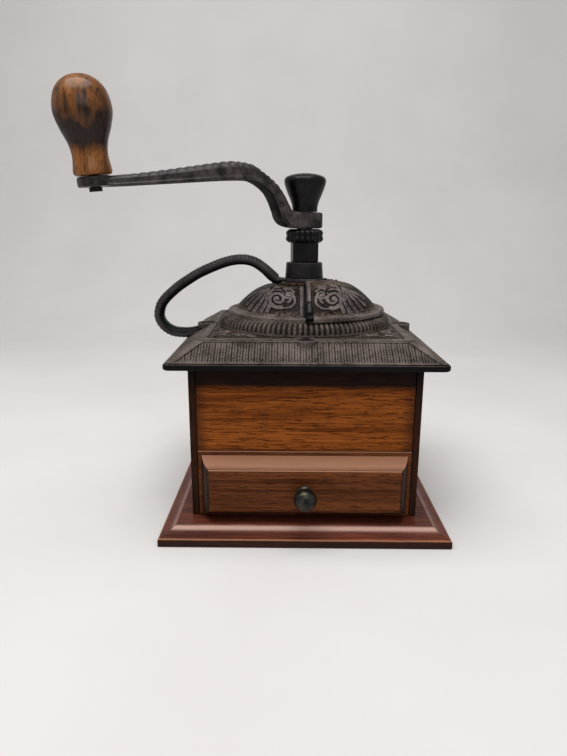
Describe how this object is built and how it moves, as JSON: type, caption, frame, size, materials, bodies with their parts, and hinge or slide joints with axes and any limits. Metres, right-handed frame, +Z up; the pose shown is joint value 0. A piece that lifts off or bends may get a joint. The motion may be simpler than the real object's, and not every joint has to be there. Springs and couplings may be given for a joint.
{
  "type": "manual coffee grinder",
  "caption": "Wooden box coffee mill with a moulded base, a drawer, a ribbed cast roof, a domed hopper with a swivelling lid, a carry handle and a crank with a turned grip.",
  "frame": {"origin": "centre of the underside of the base board", "axes": "+Z up along the shaft; -Y towards the front, where the drawer opens; the carry handle is on the -X side"},
  "size_m": [0.2041, 0.1659, 0.2402],
  "materials": {
    "box_wood": "worn oak with a warm brown oil finish",
    "base_wood": "dark red-brown stained wood",
    "drawer_wood": "dark red-brown stained oak",
    "plain_wood": "bare wood",
    "grip_wood": "turned and lacquered wood",
    "cast_iron": "old dark cast iron, worn on its edges",
    "black_iron": "black japanned iron",
    "plain_steel": "plain turned steel",
    "old_brass": "tarnished brass"
  },
  "bodies": {
    "mill_body": {"left_side_panel": "box_wood", "right_side_panel": "box_wood", "front_panel": "box_wood", "back_panel": "box_wood", "base_board": "base_wood", "roof_casting": "cast_iron", "dome_casting": "cast_iron", "hopper_bowl": "cast_iron", "burr_bridge": "cast_iron", "carry_handle": "cast_iron", "bearing_collar": "black_iron", "outer_burr": "black_iron", "base_screw_1": "plain_steel", "base_screw_2": "plain_steel", "base_screw_3": "plain_steel", "base_screw_4": "plain_steel", "roof_screw_front": "plain_steel", "roof_screw_back": "plain_steel", "roof_screw_left": "plain_steel", "roof_screw_right": "plain_steel", "handle_screw": "plain_steel", "hopper_screw_1": "plain_steel", "hopper_screw_2": "plain_steel", "hopper_screw_3": "plain_steel", "bridge_screw_left": "plain_steel", "bridge_screw_right": "plain_steel"},
    "spindle": {"spindle_shaft": "plain_steel", "inner_burr": "black_iron", "burr_nut": "plain_steel", "spindle_spring": "plain_steel", "spring_washer": "plain_steel", "spring_pin": "plain_steel", "crank_arm": "black_iron", "top_knob": "black_iron"},
    "grip": {"crank_grip": "grip_wood", "grip_stud": "black_iron"},
    "adjusting_nut": {"adjusting_nut": "black_iron"},
    "lid": {"hopper_lid": "cast_iron", "lid_tab": "black_iron"},
    "drawer": {"drawer_front": "drawer_wood", "drawer_left_side": "plain_wood", "drawer_right_side": "plain_wood", "drawer_back": "plain_wood", "drawer_floor": "plain_wood", "drawer_knob": "old_brass", "drawer_knob_screw": "plain_steel"}
  },
  "joints": [
    {"name": "crank_turn", "type": "hinge", "parent": "mill_body", "child": "spindle", "pos_m": [0, 0, 0.1731], "axis": [0, 0, 1], "continuous": true},
    {"name": "grip_spin", "type": "hinge", "parent": "spindle", "child": "grip", "pos_m": [-0.1071, -0.05695, 0.1911], "axis": [-0.0846, -0.045, 0.9954], "continuous": true},
    {"name": "adjusting_nut_turn", "type": "hinge", "parent": "spindle", "child": "adjusting_nut", "pos_m": [0, 0, 0.1588], "axis": [0, 0, 1], "range_deg": [-360, 360]},
    {"name": "lid_swivel", "type": "hinge", "parent": "mill_body", "child": "lid", "pos_m": [0, 0, 0.1361], "axis": [0, 0, 1], "range_deg": [-65, 65]},
    {"name": "drawer_slide", "type": "slide", "parent": "mill_body", "child": "drawer", "axis": [0, -1, 0], "range_m": [0, 0.095]}
  ]
}
